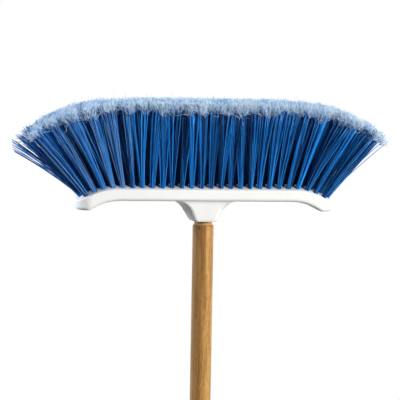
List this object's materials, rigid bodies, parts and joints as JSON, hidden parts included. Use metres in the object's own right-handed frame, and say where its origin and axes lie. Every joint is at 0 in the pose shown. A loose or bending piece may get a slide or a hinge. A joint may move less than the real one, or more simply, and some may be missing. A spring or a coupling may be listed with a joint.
{
  "type": "broom",
  "caption": "Upright sweeping broom: arched moulded block with a flared screw socket, fanned blue tufts with split tips, and a varnished wooden handle.",
  "frame": {"origin": "on the handle's axis at its shoulder, the top of the full-diameter rod, just below the socket's mouth", "axes": "+Z along the handle's axis, from the handle to the bristle tips; +X along the block's length; +Y across the block"},
  "size_m": [0.3892, 0.0708, 1.3262],
  "materials": {
    "varnished_wood": "turned wood under clear varnish",
    "white_plastic": "satin moulded plastic",
    "blue_bristle": "drawn plastic filament, split at the tips",
    "anchor_wire": "flat wire"
  },
  "bodies": {
    "handle": {"handle": "varnished_wood"},
    "head": {"block": "white_plastic", "bristle_rank_01": "blue_bristle", "bristle_rank_02": "blue_bristle", "bristle_rank_03": "blue_bristle", "bristle_rank_04": "blue_bristle", "bristle_rank_05": "blue_bristle", "bristle_rank_06": "blue_bristle", "bristle_rank_07": "blue_bristle", "bristle_rank_08": "blue_bristle", "bristle_rank_09": "blue_bristle", "bristle_rank_10": "blue_bristle", "bristle_rank_11": "blue_bristle", "bristle_rank_12": "blue_bristle", "bristle_rank_13": "blue_bristle", "bristle_rank_14": "blue_bristle", "bristle_rank_15": "blue_bristle", "bristle_rank_16": "blue_bristle", "bristle_rank_17": "blue_bristle", "bristle_rank_18": "blue_bristle", "bristle_rank_19": "blue_bristle", "bristle_rank_20": "blue_bristle", "bristle_rank_21": "blue_bristle", "bristle_rank_22": "blue_bristle", "bristle_rank_23": "blue_bristle", "bristle_rank_24": "blue_bristle", "bristle_rank_25": "blue_bristle", "bristle_rank_26": "blue_bristle", "bristle_rank_27": "blue_bristle", "tuft_anchors": "anchor_wire"}
  },
  "joints": [
    {"name": "head_unscrew", "type": "slide", "parent": "handle", "child": "head", "axis": [0, 0, 1], "range_m": [0, 0.03]}
  ]
}
